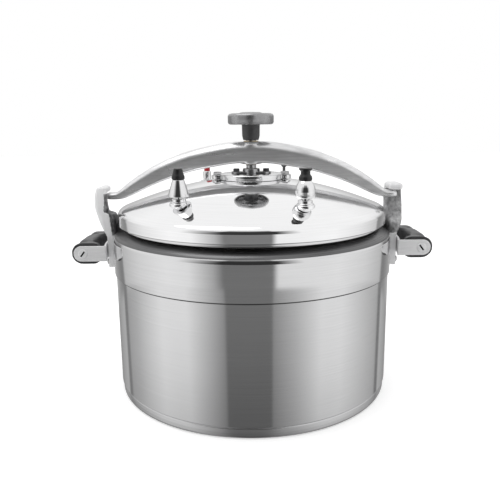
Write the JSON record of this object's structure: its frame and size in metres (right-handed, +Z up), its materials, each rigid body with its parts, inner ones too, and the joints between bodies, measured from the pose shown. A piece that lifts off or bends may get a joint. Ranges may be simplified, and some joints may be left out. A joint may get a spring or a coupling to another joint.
{
  "type": "pressure canner",
  "caption": "Large clamp-beam pressure canner: round pot with two side hooks and grips, domed lid with pressure weights, arched clamp beam and screw knob.",
  "frame": {"origin": "centre of the base disc's underside, on the surface it stands on", "axes": "+Z up along the pot's axis; the clamp beam and the two side handles lie along X; the front, with the two pressure weights, faces -Y"},
  "size_m": [0.462, 0.3636, 0.3602],
  "materials": {
    "spun_aluminium": "fine brushed round the axis",
    "base_aluminium": "satin",
    "cast_aluminium": "satin, cast",
    "polished_aluminium": "mirror polished",
    "satin_steel": "satin",
    "rack_aluminium": "matt",
    "strap_steel": "brushed",
    "chrome": "polished",
    "brass": "machined",
    "black_steel": "black oxide",
    "bakelite": "moulded, satin",
    "black_plastic": "moulded",
    "red_plastic": "moulded",
    "silicone": "soft",
    "rivet_aluminium": "headed",
    "screw_steel": "machined"
  },
  "bodies": {
    "pot": {"base_disc": "base_aluminium", "handle_bolt_left": "screw_steel", "handle_bolt_right": "screw_steel", "handle_grip_left": "bakelite", "handle_grip_right": "bakelite", "handle_nut_left": "screw_steel", "handle_nut_right": "screw_steel", "handle_strap_left": "strap_steel", "handle_strap_right": "strap_steel", "hook_left": "cast_aluminium", "hook_right": "cast_aluminium", "hook_rivet_left_front": "rivet_aluminium", "hook_rivet_left_rear": "rivet_aluminium", "hook_rivet_right_front": "rivet_aluminium", "hook_rivet_right_rear": "rivet_aluminium", "pot_body": "spun_aluminium", "strap_rivet_left_front": "rivet_aluminium", "strap_rivet_left_rear": "rivet_aluminium", "strap_rivet_right_front": "rivet_aluminium", "strap_rivet_right_rear": "rivet_aluminium"},
    "rack": {"steam_rack": "rack_aluminium"},
    "lid": {"float_nut": "screw_steel", "float_seat": "chrome", "lid_gasket": "silicone", "lid_shell": "polished_aluminium", "retainer_bolt_left": "black_steel", "retainer_bolt_right": "black_steel", "safety_valve_body": "chrome", "safety_valve_nut": "screw_steel", "safety_valve_seat": "brass", "safety_valve_spring": "screw_steel", "screw_retainer": "satin_steel", "seat_bolt_left": "screw_steel", "seat_bolt_right": "screw_steel", "seat_nut_left": "screw_steel", "seat_nut_right": "screw_steel", "seat_plate": "polished_aluminium", "vent_guard_left": "rack_aluminium", "vent_guard_right": "rack_aluminium", "vent_nut_left": "screw_steel", "vent_nut_right": "screw_steel", "vent_pipe_left": "chrome", "vent_pipe_right": "chrome"},
    "screw": {"clamp_screw": "screw_steel", "knob": "bakelite", "knob_cap": "bakelite"},
    "beam": {"clamp_beam": "cast_aluminium", "beam_bush": "brass"},
    "weight_left": {"weight_left": "chrome", "weight_cap_left": "black_plastic"},
    "weight_right": {"weight_right": "chrome", "weight_cap_right": "black_plastic"},
    "float": {"float_pin": "red_plastic", "float_seal": "silicone"},
    "safety_stem": {"safety_valve_stem": "black_steel"}
  },
  "joints": [
    {"name": "lid_rise", "type": "slide", "parent": "pot", "child": "lid", "axis": [0, 0, 1], "range_m": [0, 0.005]},
    {"name": "screw_turn", "type": "hinge", "parent": "lid", "child": "screw", "pos_m": [0, 0, 0.2818], "axis": [0, 0, 1], "range_deg": [0, 720]},
    {"name": "beam_swing", "type": "hinge", "parent": "pot", "child": "beam", "pos_m": [0, 0, 0.294], "axis": [0, 0, 1], "range_deg": [-25, 0]},
    {"name": "weight_left_lift", "type": "slide", "parent": "lid", "child": "weight_left", "axis": [0, 0, 1], "range_m": [0, 0.012]},
    {"name": "weight_right_lift", "type": "slide", "parent": "lid", "child": "weight_right", "axis": [0, 0, 1], "range_m": [0, 0.012]},
    {"name": "float_rise", "type": "slide", "parent": "lid", "child": "float", "axis": [0, 0, 1], "range_m": [0, 0.004]},
    {"name": "safety_pop", "type": "slide", "parent": "lid", "child": "safety_stem", "axis": [0, 0, 1], "range_m": [0, 0.003], "stiffness_N_per_m": 1500, "springref_m": -0.004, "deforming": ["safety_valve_spring"]},
    {"name": "rack_lift", "type": "slide", "parent": "pot", "child": "rack", "axis": [0, 0, 1], "range_m": [0, 0.1]}
  ],
  "couplings": [
    {"joint": "screw_turn", "follows": "lid_rise", "rad_per_m": 2513.3}
  ]
}
